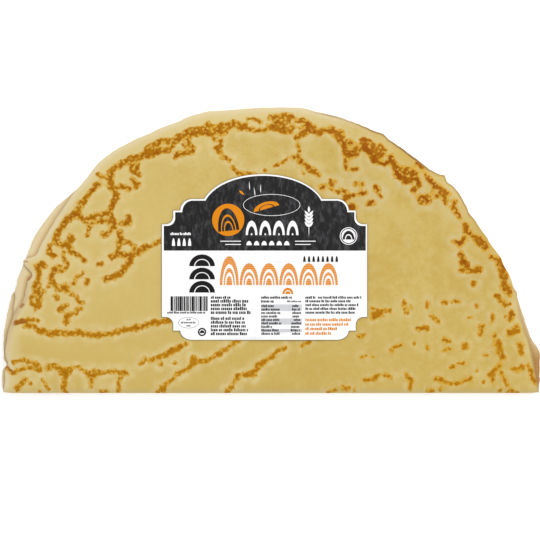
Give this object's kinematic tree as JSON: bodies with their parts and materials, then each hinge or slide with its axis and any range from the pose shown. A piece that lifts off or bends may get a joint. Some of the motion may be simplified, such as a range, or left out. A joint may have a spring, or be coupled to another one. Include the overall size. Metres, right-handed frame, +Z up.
{
  "type": "folded wheat crepe stack with label",
  "caption": "Thin wheat crepes stacked flat and folded in half together into a half-moon, lying flat with a stepped, arched paper label on top.",
  "frame": {"origin": "on the surface the stack lies on, in the middle of its bounding box", "axes": "+X along the straight fold, +Y from the fold to the top of the round rim, +Z up through the label"},
  "size_m": [0.3498, 0.186, 0.0091],
  "materials": {
    "crepe_outer": "soft matt crumb, pale yellow with a lace of orange-brown browning",
    "crepe_middle": "soft matt crumb, paler at the rim, with browning",
    "crepe_inner": "soft matt crumb, pale cream at the rim, with browning",
    "label_paper": "coated paper, white below and printed black above, with orange accents"
  },
  "bodies": {
    "root": {"crepe_outer": "crepe_outer", "crepe_middle": "crepe_middle", "crepe_inner": "crepe_inner", "label": "label_paper"}
  },
  "joints": []
}
